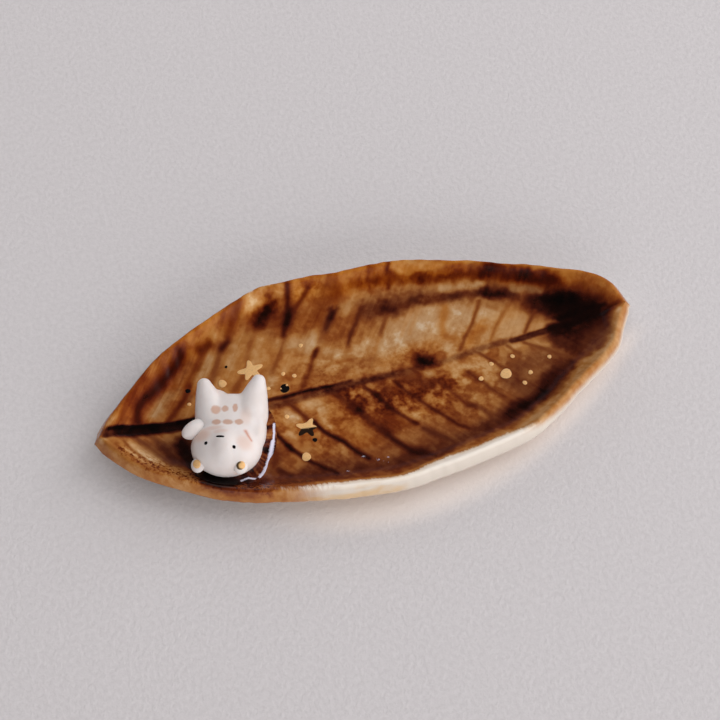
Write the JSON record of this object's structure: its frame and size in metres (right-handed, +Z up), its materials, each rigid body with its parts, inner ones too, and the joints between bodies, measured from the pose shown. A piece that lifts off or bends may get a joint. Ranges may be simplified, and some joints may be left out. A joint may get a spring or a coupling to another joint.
{
  "type": "leaf dish",
  "caption": "Shallow porcelain leaf dish with curled rim, pressed midrib and veins, and a small animal cub lying on its back inside, for holding rings and small things.",
  "frame": {"origin": "on the surface the dish stands on, under the middle of its bounding box", "axes": "+X along the midrib towards the leaf's point, +Z up"},
  "size_m": [0.1324, 0.0618, 0.016],
  "materials": {
    "brown_glaze": "glossy translucent brown glaze over cream porcelain",
    "white_porcelain": "smooth satin white porcelain",
    "gold_lustre": "fired gold lustre",
    "black_enamel": "fired black enamel"
  },
  "bodies": {
    "root": {"leaf_dish": "brown_glaze", "figure_head": "white_porcelain", "figure_torso": "white_porcelain", "left_leg": "white_porcelain", "right_leg": "white_porcelain", "left_arm": "white_porcelain", "right_arm": "white_porcelain", "left_ear": "white_porcelain", "right_ear": "white_porcelain"}
  },
  "joints": []
}
